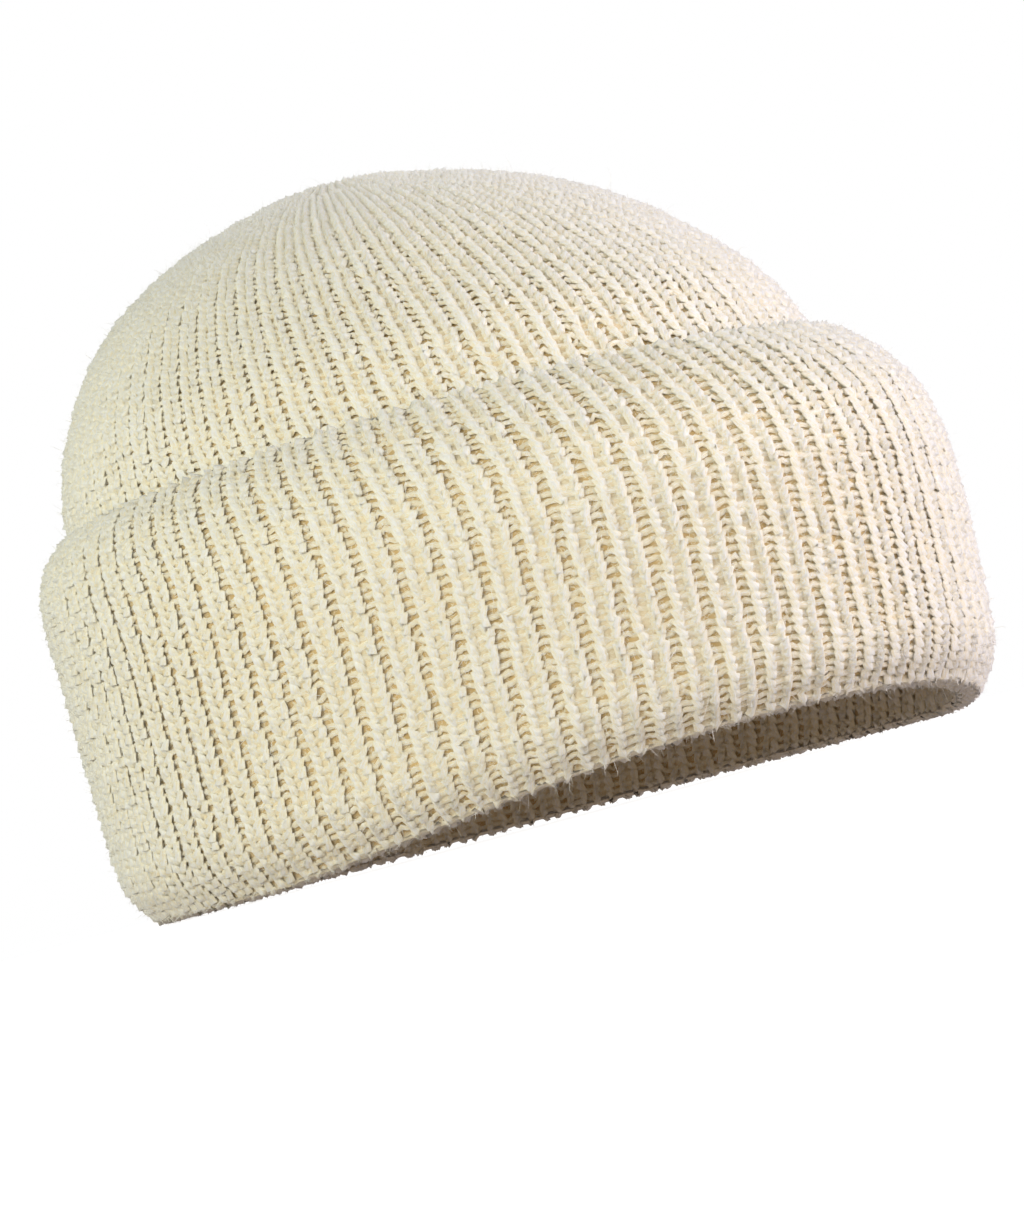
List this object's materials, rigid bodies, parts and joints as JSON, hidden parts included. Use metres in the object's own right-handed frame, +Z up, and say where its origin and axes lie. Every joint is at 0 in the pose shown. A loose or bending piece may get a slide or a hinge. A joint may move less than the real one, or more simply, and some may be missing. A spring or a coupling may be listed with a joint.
{
  "type": "knit hat",
  "caption": "Wool watch cap knitted in 1x1 rib, with a gathered crown and a deep turned-up cuff that keeps the form it has on a head.",
  "frame": {"origin": "in the table plane under the middle of the rim", "axes": "front of the hat towards -Y, up is +Z, the wearer's left is +X"},
  "size_m": [0.1764, 0.2234, 0.1412],
  "materials": {
    "crown_knit": "matte, fuzzy undyed wool in 1x1 rib",
    "cuff_knit": "matte, fuzzy undyed wool in 1x1 rib, turned up"
  },
  "bodies": {
    "root": {"crown": "crown_knit", "cuff": "cuff_knit"}
  },
  "joints": []
}
